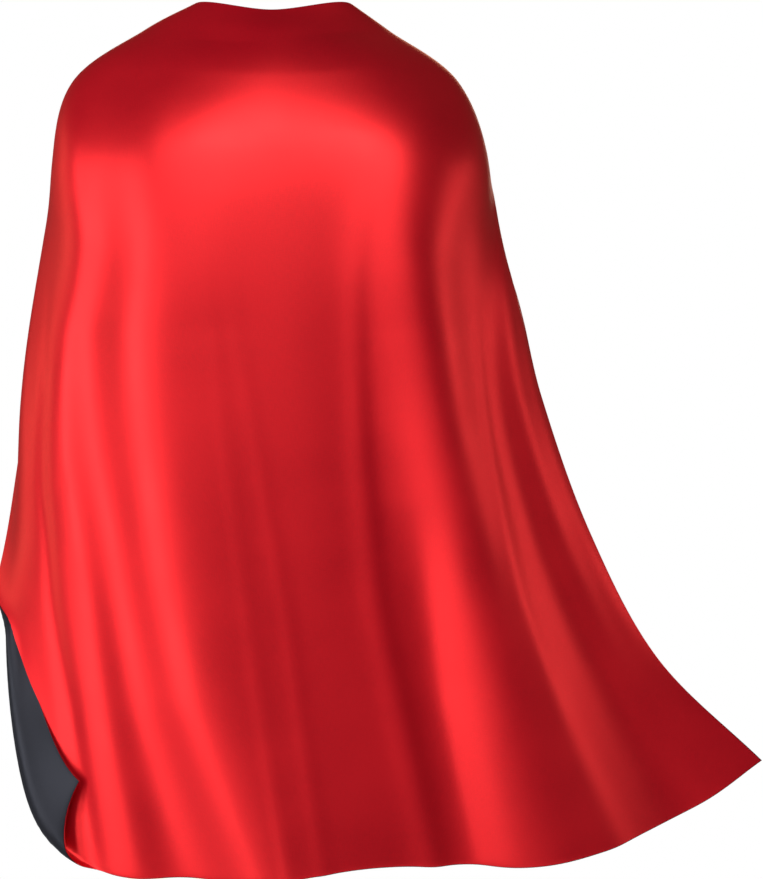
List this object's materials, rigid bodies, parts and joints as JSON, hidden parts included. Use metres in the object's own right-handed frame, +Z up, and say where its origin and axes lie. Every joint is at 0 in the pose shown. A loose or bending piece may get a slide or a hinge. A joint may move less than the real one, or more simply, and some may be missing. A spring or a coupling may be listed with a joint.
{
  "type": "superhero cape",
  "caption": "Long red satin costume cape with a black satin lining, hung from the shoulders, one hem corner turned up, with a hook-and-loop tab at the throat.",
  "frame": {"origin": "middle of the neck opening, level with the neck seam at the back", "axes": "+Z up, +Y the way the wearer faces, +X to the right as seen from behind the wearer"},
  "size_m": [0.9778, 0.3021, 1.1123],
  "materials": {
    "red_satin": "satin",
    "black_satin": "satin",
    "stiffener": "matte",
    "red_thread": "satin",
    "black_thread": "satin",
    "hook_tape": "matte",
    "loop_tape": "matte",
    "label_ribbon": "satin"
  },
  "bodies": {
    "cape": {"outer_panel": "red_satin", "lining_panel": "black_satin", "neck_stiffener": "stiffener", "edge_seam_thread": "red_thread", "under_tab_outer": "red_satin", "under_tab_stiffener": "stiffener", "under_tab_lining": "black_satin", "under_tab_stitching": "red_thread", "loop_tape": "loop_tape", "loop_tape_stitching": "black_thread", "label_stitching": "red_thread"},
    "closure_tab": {"top_tab_outer": "red_satin", "top_tab_stiffener": "stiffener", "top_tab_lining": "black_satin", "top_tab_stitching": "red_thread", "hook_tape": "hook_tape", "hook_tape_stitching": "black_thread"},
    "care_label": {"care_label": "label_ribbon"}
  },
  "joints": [
    {"name": "closure_tab_peel", "type": "hinge", "parent": "cape", "child": "closure_tab", "pos_m": [-0.045, 0.0894, -0.061], "axis": [0, 0, 1], "range_deg": [0, 120]},
    {"name": "care_label_flip", "type": "hinge", "parent": "cape", "child": "care_label", "pos_m": [0, -0.0678, -0.0045], "axis": [1, 0, 0], "range_deg": [0, 60]}
  ]
}
